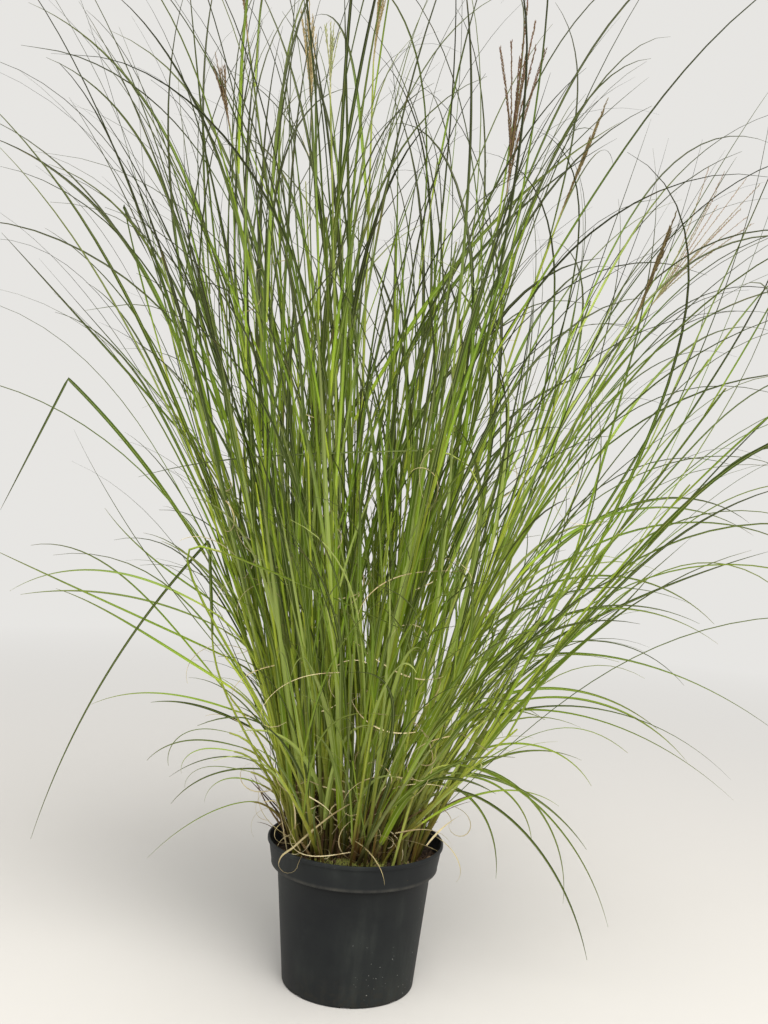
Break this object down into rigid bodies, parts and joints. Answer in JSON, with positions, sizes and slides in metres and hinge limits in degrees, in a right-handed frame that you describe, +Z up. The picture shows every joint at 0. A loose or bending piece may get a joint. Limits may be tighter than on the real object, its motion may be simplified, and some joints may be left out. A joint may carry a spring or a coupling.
{
  "type": "potted ornamental grass clump",
  "caption": "Clump of narrow-leaved flowering grass in a round nursery pot with a wide collar: upright culms, long arching blades, slim flower heads.",
  "frame": {"origin": "middle of the underside of the pot, in the plane it rests on", "axes": "+Z up through the clump, +X to the side the clump leans towards, -Y to the side with dry straw over the rim"},
  "size_m": [1.162, 1.0025, 1.3589],
  "materials": {
    "pot_plastic": "dull charcoal plastic, dusty",
    "compost": "loose peat mix with a little moss",
    "culm": "smooth waxy stem, lime green",
    "leaf_blade": "satin green blade with a pale midrib",
    "panicle": "fine dry spikelets, red-brown to straw",
    "dry_straw": "dry pale straw"
  },
  "bodies": {
    "root": {"pot": "pot_plastic", "compost": "compost", "culm_01": "culm", "culm_02": "culm", "culm_03": "culm", "culm_04": "culm", "culm_05": "culm", "culm_06": "culm", "culm_07": "culm", "culm_08": "culm", "culm_09": "culm", "culm_10": "culm", "culm_11": "culm", "culm_12": "culm", "culm_13": "culm", "culm_14": "culm", "culm_15": "culm", "culm_16": "culm", "culm_17": "culm", "culm_18": "culm", "culm_19": "culm", "culm_20": "culm", "leaf_01": "leaf_blade", "leaf_02": "leaf_blade", "leaf_03": "leaf_blade", "leaf_04": "leaf_blade", "leaf_05": "leaf_blade", "leaf_06": "leaf_blade", "leaf_07": "leaf_blade", "leaf_08": "leaf_blade", "leaf_09": "leaf_blade", "leaf_10": "leaf_blade", "leaf_11": "leaf_blade", "leaf_12": "leaf_blade", "leaf_13": "leaf_blade", "leaf_14": "leaf_blade", "leaf_15": "leaf_blade", "leaf_16": "leaf_blade", "leaf_17": "leaf_blade", "leaf_18": "leaf_blade", "leaf_19": "leaf_blade", "leaf_20": "leaf_blade", "leaf_21": "leaf_blade", "leaf_22": "leaf_blade", "leaf_23": "leaf_blade", "leaf_24": "leaf_blade", "leaf_25": "leaf_blade", "panicle_1": "panicle", "panicle_2": "panicle", "panicle_3": "panicle", "panicle_4": "panicle", "panicle_5": "panicle", "panicle_6": "panicle", "panicle_7": "panicle", "panicle_8": "panicle", "panicle_9": "panicle", "straw_1": "dry_straw", "straw_2": "dry_straw", "straw_3": "dry_straw"}
  },
  "joints": []
}
